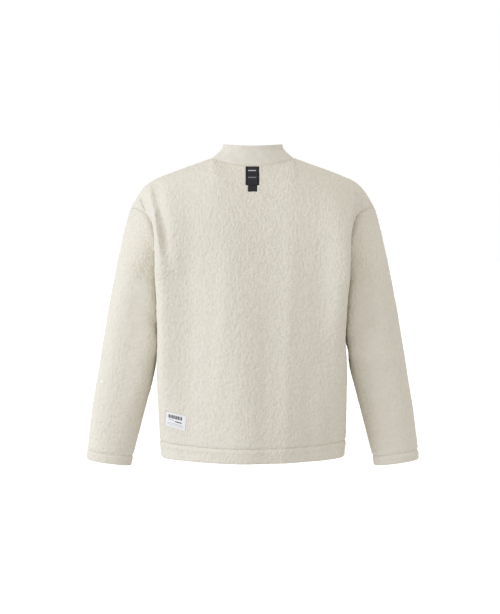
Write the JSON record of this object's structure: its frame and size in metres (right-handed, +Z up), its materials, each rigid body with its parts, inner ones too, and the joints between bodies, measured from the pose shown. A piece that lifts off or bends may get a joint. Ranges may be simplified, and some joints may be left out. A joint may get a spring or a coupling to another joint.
{
  "type": "sherpa fleece pullover",
  "caption": "Hollow worn-shape pullover of cream pile fleece with drop shoulders, long sleeves, a smooth stand collar, plain hem and cuffs, a small neck patch and a hem label.",
  "frame": {"origin": "middle of the neckline, level with the high shoulder points, where the neck seam meets the shoulder seams: the place by which the garment hangs on its wearer", "axes": "+Z up along the wearer's spine; +X towards the wearer's left sleeve; the front faces -Y and the back +Y, so Y runs through the shallowest way"},
  "size_m": [0.756, 0.2709, 0.7318],
  "materials": {
    "fleece": "curly cream pile, matt, on a knitted backing",
    "collar_knit": "smooth fine knit in the same cream, matt",
    "black_tape": "flat woven black tape with a slight sheen",
    "white_label": "flat woven white satin label"
  },
  "bodies": {
    "root": {"back_panel": "fleece", "front_panel": "fleece", "hem_band": "fleece", "sleeve_left": "fleece", "cuff_left": "fleece", "sleeve_right": "fleece", "cuff_right": "fleece", "collar": "collar_knit", "hanger_tape": "black_tape", "neck_patch": "black_tape", "hem_label": "white_label"}
  },
  "joints": []
}
